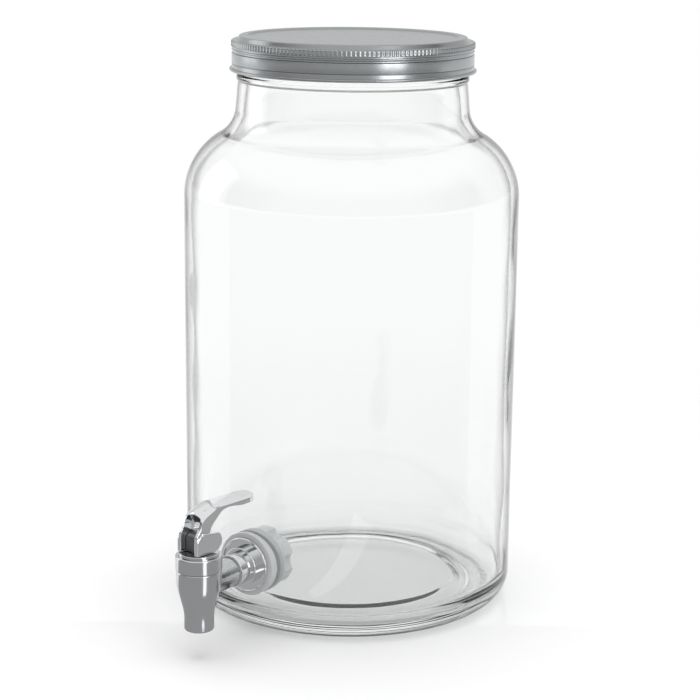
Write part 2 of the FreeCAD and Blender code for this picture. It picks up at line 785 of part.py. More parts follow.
def stem_head():
    body = doc.addObject("PartDesign::Body", "stem_head")
    foot = f"({lever_foot} - lever_rest_gap + head_foot_gap)"
    half = "head_depth / 2"
    prism(body, "stem_head_block", [
        (f"-{half}", foot, "0.4"),
        (half, foot, "0.4"),
        (half, half, f"{half} - 0.3"),
        (f"-{half}", half, f"{half} - 0.3"),
    ], "YZ_Plane", f"{slot_width} - 2 * head_side_gap")
    prism_hole(body, "stem_head_pin_hole", "pin_radius + pin_fit", slot_width)
    bore(body, "stem_socket", "XY_Plane", "stem_radius + stem_socket_fit",
         f"{foot} + stem_socket_depth", "stem_socket_depth + 1")
    return swivelled(body)


def lever_pin():
    body = doc.addObject("PartDesign::Body", "lever_pin")
    sketch = circle_sketch(body, "lever_pin_outline", "YZ_Plane", "pin_radius")
    doc.recompute()
    pin = body.newObject("PartDesign::Pad", "lever_pin_rod")
    pin.Profile = sketch
    pin.SideType = "Symmetric"
    pin.Type = "Length"
    pin.setExpression("Length", bound(f"{slot_width} + 2 * pin_bite"))
    doc.recompute()
    return swivelled(body)


# ---------------------------------------------------------------- shank and fixings
# Heights here run along the shank, from the tap's axis towards the jar.

flange_back = "(tap_standoff - outer_washer_height)"
flange_front = f"({flange_back} - flange_height)"
seam_end = "(tail_end + seam_ring_height)"
washer_back = "(tap_standoff + jar_wall + inner_washer_height)"
nut_back = f"({washer_back} + nut_height)"


def shank():
    spigot_end = "(tail_end - shank_spigot_length)"
    keep(turned("shank_tube", [
        (waterway, spigot_end),
        (shank_spigot, spigot_end, "0.3"),
        (shank_spigot, seam_end),
        ("shank_radius", seam_end),
        ("shank_radius", f"{nut_back} + shank_end_past_nut", "0.8"),
        (waterway, f"{nut_back} + shank_end_past_nut", "0.4"),
    ], SHANK, along_shank=True))
    keep(turned("shank_seal", [
        (f"{waterway} + shank_seal_inset", f"{spigot_end} - shank_seal_height"),
        (f"{shank_spigot} - shank_seal_inset", f"{spigot_end} - shank_seal_height"),
        (f"{shank_spigot} - shank_seal_inset", spigot_end),
        (f"{waterway} + shank_seal_inset", spigot_end),
    ], SHANK, along_shank=True))
    keep(turned("seam_ring", [
        (f"{shank_spigot} + shank_fit", "tail_end"),
        (f"{sleeve_radius} - seam_ring_inset", "tail_end", "0.3"),
        (f"{sleeve_radius} - seam_ring_inset", seam_end, "0.3"),
        (f"{shank_spigot} + shank_fit", seam_end),
    ], SHANK, along_shank=True))
    keep(turned("flange_sleeve", [
        (thread_bore, seam_end),
        (sleeve_radius, seam_end, "0.2"),
        (sleeve_radius, f"{flange_front} - collar_height"),
        (collar_radius, f"{flange_front} - collar_height", "0.5"),
        (collar_radius, f"{flange_front} + flange_dish"),
        ("flange_radius - flange_lip", f"{flange_front} + flange_dish"),
        ("flange_radius - 0.5 * flange_lip", flange_front, "0.3"),
        ("flange_radius", f"{flange_front} + 0.6", "0.4"),
        ("flange_radius", flange_back, "0.2"),
        (thread_bore, flange_back),
    ], SHANK, along_shank=True))


def cylinder(name, radius, height, at, along_shank=False):
    rod = doc.addObject("Part::Cylinder", name)
    rod.setExpression("Radius", bound(radius))
    rod.setExpression("Height", bound(height))
    place(rod, at, along_shank)
    return rod


def joined(kind, name, first, second):
    """A Part boolean: Part::Cut takes the second from the first, Part::Common keeps both."""
    result = doc.addObject(kind, name)
    result.Base, result.Tool = first, second
    return result


def washers():
    """Soft washers that fit the jar's round wall on one side and are flat on the other."""
    level = f"shank_level - {washer_radius} - 2"
    for name, wall, start, height, kind in (
            ("outer_washer", "jar_radius", "-jar_radius - outer_washer_height",
             "outer_washer_height + 4", "Part::Cut"),
            ("inner_washer", "jar_radius - jar_wall", "jar_wall - jar_radius - 1",
             "inner_washer_height + 1", "Part::Common")):
        blank = cylinder(name + "_blank", washer_radius, height,
                         {"y": start, "z": "shank_level"}, along_shank=True)
        glass = cylinder(name + "_glass", wall, f"2 * {washer_radius} + 4", {"z": level})
        hole = cylinder(name + "_hole", "shank_radius + washer_fit", "jar_radius",
                        SHANK, along_shank=True)
        shaped = joined(kind, name + "_shaped", blank, glass)
        keep(joined("Part::Cut", name, shaped, hole))


def fixing_nut():
    body = doc.addObject("PartDesign::Body", "fixing_nut")
    bore(body, "nut_blank", "XY_Plane", nut_radius, washer_back, "nut_height",
         kind="PartDesign::Pad")
    scallop = circle_sketch(body, "nut_scallop_outline", "XY_Plane", "scallop_radius",
                            f"{nut_radius} + scallop_radius - scallop_depth", "0")
    scallop.setExpression("AttachmentOffset.Base.z", bound(f"{nut_back} + 1"))
    doc.recompute()
    cut = body.newObject("PartDesign::Pocket", "nut_scallop")
    cut.Profile = scallop
    cut.Type = "Length"
    cut.setExpression("Length", bound("nut_height - nut_flange_height + 1"))
    doc.recompute()
    around = body.newObject("PartDesign::PolarPattern", "nut_scallops")
    around.Originals = [cut]
    around.Axis = (scallop, ["N_Axis"])
    around.Angle = 360
    around.setExpression("Occurrences", bound("nut_lobes"))
    body.Tip = around
    doc.recompute()
    bore(body, "nut_bore", "XY_Plane", thread_bore, f"{nut_back} + 1", "nut_height + 2")
    place(body, SHANK, along_shank=True)
    return keep(body)


# ---------------------------------------------------------------- build, check and write

glass_jar()
lid_shell()
lid_seal()
tap_body()
bonnet()
valve()
lever_handle()
stem_head()
lever_pin()
shank()
washers()
fixing_nut()
doc.recompute()

for item in doc.Objects:
    if {"Invalid", "Error"} & set(item.State):
        raise RuntimeError(f"{item.Name} did not build: {item.State}")
for part in parts:
    if part.Shape.isNull() or not part.Shape.isValid():
        raise RuntimeError(f"{part.Label} has no valid shape")

os.makedirs("parts", exist_ok=True)
for part in parts:
    part.Shape.exportStep(os.path.join("parts", part.Label + ".step"))
    print(f"{part.Label:14s} solids {len(part.Shape.Solids)}  volume {part.Shape.Volume:10.1f}")
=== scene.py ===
# Countertop beverage dispenser: a glass jar with a screwed steel lid and a lever tap.

import math

import bmesh
import bpy
from mathutils import Matrix, Vector, noise


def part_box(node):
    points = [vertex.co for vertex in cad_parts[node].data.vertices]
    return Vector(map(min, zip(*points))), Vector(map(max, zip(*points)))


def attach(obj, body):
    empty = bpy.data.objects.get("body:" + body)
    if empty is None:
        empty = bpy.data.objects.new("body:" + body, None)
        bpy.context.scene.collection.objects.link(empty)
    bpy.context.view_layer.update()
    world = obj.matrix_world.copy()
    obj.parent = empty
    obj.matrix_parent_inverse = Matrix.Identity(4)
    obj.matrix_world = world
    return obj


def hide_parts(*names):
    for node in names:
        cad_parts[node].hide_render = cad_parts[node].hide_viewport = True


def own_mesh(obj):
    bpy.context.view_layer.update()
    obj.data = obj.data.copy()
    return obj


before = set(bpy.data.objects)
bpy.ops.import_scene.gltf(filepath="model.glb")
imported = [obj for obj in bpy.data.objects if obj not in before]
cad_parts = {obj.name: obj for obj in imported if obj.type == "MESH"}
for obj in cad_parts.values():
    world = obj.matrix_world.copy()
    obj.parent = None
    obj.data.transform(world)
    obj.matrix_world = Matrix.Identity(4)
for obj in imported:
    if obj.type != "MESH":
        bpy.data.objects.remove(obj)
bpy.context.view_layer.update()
MM = 0.001


# ---------------------------------------------------------------- mesh helpers

def sampled(corners, step=0.7):
    """Points along an outline of (x, y[, rounding]) corners in mm, with arcs about step mm long."""
    points = []
    for i, corner in enumerate(corners):
        here = Vector(corner[:2])
        radius = corner[2] if len(corner) > 2 else 0
        if not radius:
            points.append(here)
            continue
        before = (Vector(corners[i - 1][:2]) - here).normalized()
        after = (Vector(corners[(i + 1) % len(corners)][:2]) - here).normalized()
        half = before.angle(after) / 2
        centre = here + (before + after).normalized() * radius / math.sin(half)
        first = here + before * radius / math.tan(half) - centre
        last = here + after * radius / math.tan(half) - centre
        turn = first.angle_signed(last)
        count = max(3, math.ceil(abs(turn) * radius / step), math.ceil(abs(turn) / math.radians(12)))
        for k in range(count + 1):
            points.append(centre + Matrix.Rotation(-turn * k / count, 2) @ first)
    return [tuple(p) for p in points]


def split_runs(points, longest):
    """The closed outline with its long runs divided, so that no run is over longest mm."""
    dense = []
    for a, b in zip(points, points[1:] + points[:1]):
        count = max(1, math.ceil(math.dist(a, b) / longest))
        dense += [(a[0] + (b[0] - a[0]) * k / count, a[1] + (b[1] - a[1]) * k / count) for k in range(count)]
    return dense


def denser(outline, step, wanted):
    """Splits the runs that wanted(start, end) picks into pieces no longer than step."""
    dense = []
    for a, b in zip(outline, outline[1:] + outline[:1]):
        count = max(1, math.ceil(math.dist(a, b) / step)) if wanted(a, b) else 1
        dense += [(a[0] + (b[0] - a[0]) * k / count, a[1] + (b[1] - a[1]) * k / count) for k in range(count)]
    return dense


def new_object(name, mesh, material):
    obj = bpy.data.objects.new(name, mesh)
    bpy.context.scene.collection.objects.link(obj)
    mesh.materials.append(material)
    return obj


def lathe(name, outline, segments, material, shape=None, placed=None):
    """A closed solid of revolution in mm about Z; shape(r, z, angle) may move each point."""
    mesh = bpy.data.meshes.new(name)
    work = bmesh.new()
    rings = []
    for r, z in outline:
        if r < 1e-6:
            rings.append([work.verts.new((0, 0, z * MM))] * segments)
            continue
        ring = []
        for k in range(segments):
            angle = 2 * math.pi * k / segments
            rr, zz = shape(r, z, angle) if shape else (r, z)
            ring.append(work.verts.new((rr * math.cos(angle) * MM, rr * math.sin(angle) * MM, zz * MM)))
        rings.append(ring)
    for lower, upper in zip(rings, rings[1:] + rings[:1]):
        for k in range(segments):
            corners = []
            for vert in (lower[k], lower[(k + 1) % segments], upper[(k + 1) % segments], upper[k]):
                if vert not in corners:
                    corners.append(vert)
            if len(corners) > 2:
                work.faces.new(corners)
    bmesh.ops.recalc_face_normals(work, faces=work.faces)
    for face in work.faces:
        face.smooth = True
    work.to_mesh(mesh)
    work.free()
    if placed:
        mesh.transform(placed)
    return new_object(name, mesh, material)


def apply_modifiers(obj):
    graph = bpy.context.evaluated_depsgraph_get()
    mesh = bpy.data.meshes.new_from_object(obj.evaluated_get(graph))
    obj.modifiers.clear()
    obj.data = mesh


def sharp_by_angle(obj, degrees):
    """Keeps crisp edges where the surface turns by more than the given angle."""
    work = bmesh.new()
    work.from_mesh(obj.data)
    for edge in work.edges:
        edge.smooth = len(edge.link_faces) == 2 and edge.calc_face_angle() < math.radians(degrees)
    work.to_mesh(obj.data)
    work.free()


# ---------------------------------------------------------------- materials

def add_node(tree, kind, inputs=None, **settings):
    node = tree.nodes.new(kind)
    for key, value in settings.items():
        setattr(node, key, value)
    for key, value in (inputs or {}).items():
        if isinstance(value, bpy.types.NodeSocket):
            tree.links.new(value, node.inputs[key])
        else:
            node.inputs[key].default_value = value
    return node


def surface(name, colour, roughness, metallic=0.0, transmission=0.0, ior=1.5, subsurface=0.0,
            tone=0.04, tone_scale=60, blur=0.05, grain=2500, grain_height=0.002, stretch=(1, 1, 1)):
    """A finish with drifting tone, uneven roughness and a fine grain; grain_height is in mm."""
    mat = bpy.data.materials.new(name)
    mat.use_nodes = True
    tree = mat.node_tree
    shader = tree.nodes["Principled BSDF"]
    place = add_node(tree, "ShaderNodeTexCoord").outputs["Object"]
    drift = add_node(tree, "ShaderNodeTexNoise", {"Vector": place, "Scale": tone_scale, "Detail": 4.0})
    shade = add_node(tree, "ShaderNodeMapRange", {"Value": drift.outputs["Fac"], "From Min": 0.3,
                                                 "From Max": 0.7, "To Min": 1 - tone, "To Max": 1 + tone})
    tint = add_node(tree, "ShaderNodeVectorMath", {0: (*colour,), 1: shade.outputs["Result"]},
                    operation="MULTIPLY")
    tree.links.new(tint.outputs["Vector"], shader.inputs["Base Color"])
    wide = add_node(tree, "ShaderNodeTexNoise", {"Vector": place, "Scale": tone_scale * 5, "Detail": 6.0})
    gloss = add_node(tree, "ShaderNodeMapRange", {"Value": wide.outputs["Fac"], "From Min": 0.3,
                                                 "From Max": 0.7, "To Min": max(0.0, roughness - blur),
                                                 "To Max": roughness + blur})
    tree.links.new(gloss.outputs["Result"], shader.inputs["Roughness"])
    run = add_node(tree, "ShaderNodeMapping", {"Vector": place, "Scale": stretch})
    fine = add_node(tree, "ShaderNodeTexNoise", {"Vector": run.outputs["Vector"], "Scale": grain,
                                                   "Detail": 3.0})
    bump = add_node(tree, "ShaderNodeBump", {"Height": fine.outputs["Fac"], "Distance": grain_height * MM,
                                            "Strength": 1.0})
    tree.links.new(bump.outputs["Normal"], shader.inputs["Normal"])
    shader.inputs["Metallic"].default_value = metallic
    shader.inputs["IOR"].default_value = ior
    shader.inputs["Transmission Weight"].default_value = transmission
    if subsurface:
        shader.inputs["Subsurface Weight"].default_value = subsurface
        shader.inputs["Subsurface Radius"].default_value = (0.004, 0.004, 0.004)
    return mat


def clear_glass():
    """Pressed clear glass: faintly uneven everywhere, with a stippled bearing ring under the heel."""
    mat = bpy.data.materials.new("clear_glass")
    mat.use_nodes = True
    tree = mat.node_tree
    shader = tree.nodes["Principled BSDF"]
    shader.inputs["IOR"].default_value = 1.5
    shader.inputs["Transmission Weight"].default_value = 1.0
    place = add_node(tree, "ShaderNodeTexCoord").outputs["Object"]
    height = add_node(tree, "ShaderNodeSeparateXYZ", {"Vector": place}).outputs["Z"]
    # painted shade: the glass colour darkens to near black at grazing angles, drawing dark edge lines along
    # the wall, and is a little darker in the jar's lower part
    edge = add_node(tree, "ShaderNodeMapRange", {
        "Value": add_node(tree, "ShaderNodeLayerWeight", {"Blend": 0.5}).outputs["Facing"], "From Min": 0.66,
        "From Max": 0.86, "To Min": 1.0, "To Max": 0.03}, interpolation_type="SMOOTHSTEP")
    base = add_node(tree, "ShaderNodeMapRange", {"Value": height, "From Min": 0.05, "From Max": 0.15,
                                                "To Min": 0.95, "To Max": 1.0},
                    interpolation_type="SMOOTHSTEP")
    painted_glass_shade = add_node(tree, "ShaderNodeMath", {0: edge.outputs["Result"], 1: base.outputs["Result"]},
                   operation="MULTIPLY")
    tint = add_node(tree, "ShaderNodeVectorMath", {0: (0.985, 0.992, 0.99), "Scale": painted_glass_shade.outputs["Value"]},
                    operation="SCALE")
    tree.links.new(tint.outputs["Vector"], shader.inputs["Base Color"])
    low = add_node(tree, "ShaderNodeMapRange", {"Value": height, "From Min": 0.0008, "From Max": 0.0002,
                                               "To Min": 0.0, "To Max": 1.0})
    dots = add_node(tree, "ShaderNodeTexVoronoi", {"Vector": place, "Scale": 700.0})
    stipple = add_node(tree, "ShaderNodeMath", {0: dots.outputs["Distance"], 1: low.outputs["Result"]},
                       operation="MULTIPLY")
    waves = add_node(tree, "ShaderNodeTexNoise", {"Vector": place, "Scale": 22.0, "Detail": 1.0})
    soft = add_node(tree, "ShaderNodeBump", {"Height": waves.outputs["Fac"], "Distance": 0.00025})
    rough = add_node(tree, "ShaderNodeBump", {"Height": stipple.outputs["Value"], "Distance": 0.0004,
                                             "Normal": soft.outputs["Normal"]})
    tree.links.new(rough.outputs["Normal"], shader.inputs["Normal"])
    haze = add_node(tree, "ShaderNodeMapRange", {"Value": low.outputs["Result"], "To Min": 0.0,
                                                "To Max": 0.12})
    tree.links.new(haze.outputs["Result"], shader.inputs["Roughness"])
    # lamps shine through the glass, so that it throws only a faint shadow
    ray = add_node(tree, "ShaderNodeLightPath")
    clear = add_node(tree, "ShaderNodeBsdfTransparent", {"Color": (0.97, 0.98, 0.98, 1)})
    mixed = add_node(tree, "ShaderNodeMixShader", {0: ray.outputs["Is Shadow Ray"], 1: shader.outputs["BSDF"],
                                                  2: clear.outputs["BSDF"]})
    tree.links.new(mixed.outputs["Shader"], tree.nodes["Material Output"].inputs["Surface"])
    return mat


MATERIALS = {
    "clear_glass": clear_glass(),
    "lid_steel": surface("lid_steel", (0.37, 0.385, 0.395), 0.24, metallic=1.0, tone=0.02,
                         blur=0.03, grain=3500, grain_height=0.0012),
    "lid_compound": surface("lid_compound", (0.82, 0.81, 0.78), 0.5, subsurface=0.1, grain=900,
                            grain_height=0.01),
    "satin_metal": surface("satin_metal", (0.60, 0.61, 0.62), 0.15, metallic=1.0, tone=0.015,
                           blur=0.02, grain=4500, grain_height=0.0004),
    "polished_chrome": surface("polished_chrome", (0.78, 0.79, 0.80), 0.05, metallic=1.0,
                               blur=0.015, tone=0.01, grain=1500, grain_height=0.0002),
    "head_metal": surface("head_metal", (0.20, 0.20, 0.205), 0.38, metallic=1.0, grain=2500,
                          grain_height=0.004),
    "stem_steel": surface("stem_steel", (0.5, 0.5, 0.5), 0.2, metallic=1.0),
    "spring_steel": surface("spring_steel", (0.42, 0.42, 0.43), 0.25, metallic=1.0),
    "white_acetal": surface("white_acetal", (0.83, 0.83, 0.8), 0.4, subsurface=0.05, grain=1200,
                            grain_height=0.006),
    "seal_silicone": surface("seal_silicone", (0.30, 0.30, 0.31), 0.5, subsurface=0.1, grain=900,
                             grain_height=0.01),
    "frosted_silicone": surface("frosted_silicone", (0.60, 0.61, 0.62), 0.4, transmission=0.1,
                                ior=1.4, subsurface=0.5, tone=0.02, grain=1600, grain_height=0.01),
    "frosted_plastic": surface("frosted_plastic", (0.74, 0.75, 0.755), 0.35, transmission=0.15,
                               ior=1.45, subsurface=0.5, tone=0.02, grain=1400, grain_height=0.008),
}


# ---------------------------------------------------------------- glass jar

JAR_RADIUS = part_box("glass_jar")[1][0] / MM
JAR_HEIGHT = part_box("glass_jar")[1][2] / MM
LID_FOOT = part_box("lid_shell")[0][2] / MM
LID_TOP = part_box("lid_shell")[1][2] / MM
WALL = 4.2
NECK_RADIUS = 60.2
NECK_WALL = 4.2
FINISH_FOOT = LID_FOOT - 1.5
NECK_FOOT = FINISH_FOOT - 3.5
TAPER_HEIGHT = 14.5
TAPER = math.radians(5)
SHOULDER_RADIUS, THROAT_RADIUS = 38.0, 18.0
THROAT_TOP_RADIUS = NECK_RADIUS + 0.9 + TAPER_HEIGHT * math.tan(TAPER)
LEAN = math.acos((SHOULDER_RADIUS + THROAT_RADIUS * math.cos(TAPER) - JAR_RADIUS + THROAT_TOP_RADIUS)
                 / (SHOULDER_RADIUS + THROAT_RADIUS))
THREAD_PITCH, THREAD_TURNS, THREAD_DEPTH = 5.0, 1.25, 2.2
SHANK_LEVEL = (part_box("outer_washer")[0][2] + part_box("outer_washer")[1][2]) / 2 / MM


def shoulder_corners(inset):
    """Where the wall, the slope and the tapered neck meet, for the glass face inset mm inwards."""
    wall = JAR_RADIUS - inset
    taper_top = (NECK_RADIUS + 0.9 - inset / math.cos(TAPER), NECK_FOOT)
    turn = (JAR_RADIUS - SHOULDER_RADIUS * (1 - math.cos(LEAN)),
            NECK_FOOT - TAPER_HEIGHT - THROAT_RADIUS * (math.sin(LEAN) - math.sin(TAPER)))
    turn = (turn[0] - inset * math.cos(LEAN), turn[1] - inset * math.sin(LEAN))
    slope = (-math.sin(LEAN), math.cos(LEAN))
    along = (wall - turn[0]) / slope[0]
    low = (wall, turn[1] + along * slope[1])
    # the taper line leans outwards going down; the slope line crosses it at the throat
    tan = math.tan(TAPER)
    s = (taper_top[0] + (taper_top[1] - turn[1]) * tan - turn[0]) / (slope[0] + slope[1] * tan)
    high = (turn[0] + s * slope[0], turn[1] + s * slope[1])
    return low, high, taper_top


def jar_outline():
    low, high, top = shoulder_corners(0)
    low_in, high_in, _ = shoulder_corners(WALL)
    corners = [
        (0, 4.5), (57.5, 4.5, 4), (62.0, 2.7, 4), (66.0, 1.9, 2), (69.0, 0, 1),
        (JAR_RADIUS, 0, 13.9), (*low, SHOULDER_RADIUS - 0.1), (*high, THROAT_RADIUS - 0.1), (*top, 0.5),
        (NECK_RADIUS + 1.7, NECK_FOOT + 0.6, 1.2), (NECK_RADIUS + 1.7, FINISH_FOOT - 0.6, 1.2),
        (NECK_RADIUS, FINISH_FOOT, 0.6), (NECK_RADIUS, JAR_HEIGHT, 1.2),
        (NECK_RADIUS - NECK_WALL, JAR_HEIGHT, 1.2), (NECK_RADIUS - NECK_WALL, NECK_FOOT, 6),
        (*high_in, THROAT_RADIUS + WALL - 3), (*low_in, SHOULDER_RADIUS - WALL - 0.1),
        (JAR_RADIUS - WALL, 8.4, 11), (66.5, 8.4, 9), (57.5, 10.4, 9), (0, 10.4),
    ]
    return split_runs(sampled(corners, 0.9), 4.0)


def jar_shape(r, z, angle):
    """Adds the screw thread on the neck and the slow unevenness of the inside face."""
    start = FINISH_FOOT + 3.4
    if r > NECK_RADIUS - 1.0 and FINISH_FOOT - 1 < z < JAR_HEIGHT - 1.0:
        rise = 0.0
        for lap in (0, 1):
            turns = lap + (angle / (2 * math.pi)) % 1.0
            if turns > THREAD_TURNS:
                continue
            off = abs(z - start - THREAD_PITCH * turns)
            fade = min(1.0, turns / 0.06, (THREAD_TURNS - turns) / 0.06)
            rise = max(rise, fade * THREAD_DEPTH * min(1.0, max(0.0, (1.8 - off) / 1.1)))
        return r + rise, z
    if 12 < z < 280 and r < JAR_RADIUS - 2:
        spot = Vector((math.cos(angle) * 2.2, math.sin(angle) * 2.2, z / 75))
        return r + 0.22 * noise.noise(spot) + 0.1 * noise.noise(spot * 3), z
    return r, z


def build_jar():
    dense = denser(jar_outline(), 0.4, lambda a, b:
                   a[0] > NECK_RADIUS - 0.5 and a[1] > FINISH_FOOT - 0.5 and b[1] > a[1])
    jar = lathe("jar_glass", dense, 288, MATERIALS["clear_glass"], jar_shape)
    hole = lathe("tap_hole_drill", [(0, 0), (8.5, 0), (8.5, 30), (0, 30)], 64, MATERIALS["clear_glass"],
                 placed=Matrix.Translation((0, -(JAR_RADIUS + 8) * MM, SHANK_LEVEL * MM))
                 @ Matrix.Rotation(-math.pi / 2, 4, "X"))
    cut = jar.modifiers.new("hole", "BOOLEAN")
    cut.operation, cut.solver, cut.object = "DIFFERENCE", "EXACT", hole
    apply_modifiers(jar)
    bpy.data.objects.remove(hole)
    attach(jar, "jar")
    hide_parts("glass_jar")
    return jar


# ---------------------------------------------------------------- lid

KNURLS = 175
KNURL_DEPTH = 0.45


def lid_outline():
    z = LID_FOOT
    skirt_in, skirt = NECK_RADIUS + 2.8, NECK_RADIUS + 4.1
    curl = skirt + 1.3
    rim_in, rim_out = NECK_RADIUS - NECK_WALL + 0.4, NECK_RADIUS + 0.1
    knurl = z + 12.9
    shoulder = LID_TOP - 2.3
    corners = [
        (skirt_in, z, 0.3), (curl, z, 0.7), (curl, z + 1.6, 0.7), (skirt, z + 1.6, 0.1),
        (skirt, z + 3.5, 0.08), (skirt - 0.35, z + 3.85, 0.08), (skirt, z + 4.2, 0.08),
        (skirt, z + 9.4, 0.3), (skirt - 0.8, z + 9.8, 0.15), (skirt - 0.8, z + 10.6, 0.1),
        (skirt, z + 10.9, 0.2), (skirt, z + 11.5, 0.2), (skirt - 0.4, z + 11.9, 0.1),
        (skirt - 0.4, knurl - 0.3), (skirt + 0.3, knurl, 0.15), (skirt + 0.3, shoulder, 0.9),
        (rim_out + 0.9, shoulder - 0.35, 0.4), (rim_out, LID_TOP, 0.9), (rim_in, LID_TOP, 0.9),
        (rim_in - 0.6, LID_TOP - 0.8, 0.3), (0, LID_TOP - 0.8),
        (0, LID_TOP - 1.4), (rim_in + 0.1, LID_TOP - 1.4), (rim_in + 0.1, LID_TOP - 0.6),
        (rim_out - 0.2, LID_TOP - 0.6), (rim_out - 0.2, shoulder - 0.95), (skirt_in, shoulder - 0.95),
    ]
    return split_runs(sampled(corners, 0.25), 6.0)


def lid_shape(r, z, angle):
    """Presses the knurls into the grip band."""
    foot, top = LID_FOOT + 12.9, LID_TOP - 2.3
    if r > NECK_RADIUS + 3.8 and foot - 0.1 < z < top + 0.1:
        fade = min(1.0, max(0.0, (z - foot) / 0.3), max(0.0, (top + 0.1 - z) / 0.5))
        return r - fade * KNURL_DEPTH * (0.5 + 0.5 * math.cos(angle * KNURLS)), z
    return r, z


def build_lid():
    dense = denser(lid_outline(), 0.4, lambda a, b:
                   a[0] > NECK_RADIUS + 3.5 and a[1] > LID_FOOT + 12.5 and b[1] > a[1])
    lid = lathe("lid_steel_shell", dense, KNURLS * 4, MATERIALS["lid_steel"], lid_shape)
    sharp_by_angle(lid, 50)
    lid.data.materials.append(MATERIALS["lid_compound"])
    for face in lid.data.polygons:
        spread = math.hypot(face.center.x, face.center.y) / MM
        inside = spread < NECK_RADIUS + 2.9 and face.normal.z < 0.1 and face.center.z / MM < LID_TOP - 0.5
        face.material_index = 1 if inside and face.center.z / MM > LID_FOOT + 0.4 else 0
    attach(lid, "lid")
    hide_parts("lid_shell")


# ---------------------------------------------------------------- spring and threaded shank

def build_spring():
    low, high = (Vector(corner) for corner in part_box("return_spring"))
    centre = (low + high) / 2
    wire = 0.4 * MM
    radius = (high.x - low.x) / 2 - wire
    turns, around, per_turn = 5, 12, 40
    work = bmesh.new()
    rings = []
    steps = turns * per_turn
    for i in range(steps + 1):
        angle = 2 * math.pi * i / per_turn
        z = low.z + wire + (high.z - low.z - 2 * wire) * i / steps
        outward = Vector((math.cos(angle), math.sin(angle), 0))
        spot = Vector((centre.x, centre.y, z)) + outward * radius
        rings.append([work.verts.new(spot + outward * wire * math.cos(t) + Vector((0, 0, wire * math.sin(t))))
                      for t in (2 * math.pi * k / around for k in range(around))])
    for one, two in zip(rings, rings[1:]):
        for k in range(around):
            work.faces.new((one[k], one[(k + 1) % around], two[(k + 1) % around], two[k]))
    work.faces.new(rings[0])
    work.faces.new(rings[-1])
    bmesh.ops.recalc_face_normals(work, faces=work.faces)
    for face in work.faces:
        face.smooth = len(face.verts) == 4
    mesh = bpy.data.meshes.new("coil_spring")
    work.to_mesh(mesh)
    work.free()
    spring = new_object("coil_spring", mesh, MATERIALS["spring_steel"])
    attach(spring, "jar")
    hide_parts("return_spring")
    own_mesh(spring)


def build_shank():
    """The tube that carries the tap: plain at the tap end, with its screw thread from the sleeve on."""
    low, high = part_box("shank_tube")
    length = (high[1] - low[1]) / MM
    outer = (high[0] - low[0]) / 2 / MM
    spigot, bore, plain = 5.6, 3.8, 22.0
    spigot_length = 7.9
    corners = [(bore, 0), (spigot, 0, 0.3), (spigot, spigot_length), (outer, spigot_length),
               (outer, length, 0.5), (bore, length, 0.4)]
    dense = denser(sampled(corners, 0.3), 0.2, lambda a, b: a[0] > outer - 1 and b[1] > a[1])
    pitch, thread_depth = 1.25, 0.7

    def threaded(r, z, angle):
        if r > outer - 0.6 and z > plain:
            phase = (z / pitch - angle / (2 * math.pi)) % 1.0
            return r - thread_depth * (1 - abs(2 * phase - 1)) * min(1.0, (z - plain) / pitch), z
        return r, z

    axis = Matrix.Translation((0, low[1], SHANK_LEVEL * MM)) @ Matrix.Rotation(-math.pi / 2, 4, "X")
    shank = lathe("threaded_shank", dense, 64, MATERIALS["satin_metal"], threaded, axis)
    sharp_by_angle(shank, 40)
    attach(shank, "jar")
    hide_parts("shank_tube")


# ---------------------------------------------------------------- lever

LEVER_SWIVEL = math.radians(8)
TAP_REACH = 132.0
ARM_HALF = 6.8
CROWN = 1.2
FRONT_CROWN = 1.6


def build_lever():
    """The cast lever: the plain lever's form with softened edges and a crowned arm."""
    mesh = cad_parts["lever_handle"].data.copy()
    mesh.materials.clear()
    lever = new_object("cast_lever", mesh, MATERIALS["polished_chrome"])
    even = lever.modifiers.new("even", "REMESH")
    even.mode, even.voxel_size = "VOXEL", 0.24 * MM
    ease = lever.modifiers.new("ease", "SMOOTH")
    ease.factor, ease.iterations = 0.5, 6
    apply_modifiers(lever)
    points = lever.data.vertices

    def local(point):
        x, y = point.x / MM, point.y / MM + TAP_REACH
        along = x * math.sin(LEVER_SWIVEL) + y * math.cos(LEVER_SWIVEL)
        across = x * math.cos(LEVER_SWIVEL) - y * math.sin(LEVER_SWIVEL)
        return along, across, point.z / MM

    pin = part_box("lever_pin")
    pin_level = (pin[0][2] + pin[1][2]) / 2 / MM
    ridge = {}
    for vert in points:
        along, across, up = local(vert.co)
        if abs(across) < 1.5:
            ridge[round(along)] = max(ridge.get(round(along), 0), up)
    for vert in points:
        along, across, up = local(vert.co)
        step = math.floor(along)
        low, high = ridge.get(step, up), ridge.get(step + 1, up)
        near = low + (high - low) * (along - step)
        depth = min(1.0, max(0.0, (up - near + 2.8) / 2.6))
        raised = min(1.0, max(0.0, (up - pin_level - 4) / 6))
        swell = CROWN + FRONT_CROWN * min(1.0, max(0.0, (6 - along) / 8.6))
        vert.co.z -= swell * MM * min(1.2, (across / ARM_HALF) ** 2) * depth * raised
    ease = lever.modifiers.new("ease", "SMOOTH")
    ease.factor, ease.iterations = 0.5, 10
    apply_modifiers(lever)
    for face in lever.data.polygons:
        face.use_smooth = True
    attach(lever, "lever")
    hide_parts("lever_handle")


# ---------------------------------------------------------------- materials of the other CAD pieces

NODE_MATERIALS = {
    "lid_seal": "lid_compound", "tap_body": "satin_metal", "bonnet_ring": "satin_metal",
    "bonnet_seal": "seal_silicone", "stem_bush": "white_acetal", "stem_seal": "seal_silicone",
    "valve_stem": "stem_steel", "seat_plug": "seal_silicone",
    "stem_head": "head_metal", "lever_pin": "stem_steel", "shank_seal": "seal_silicone",
    "seam_ring": "seal_silicone", "flange_sleeve": "polished_chrome", "outer_washer": "frosted_silicone",
    "inner_washer": "frosted_silicone", "fixing_nut": "frosted_plastic",
}


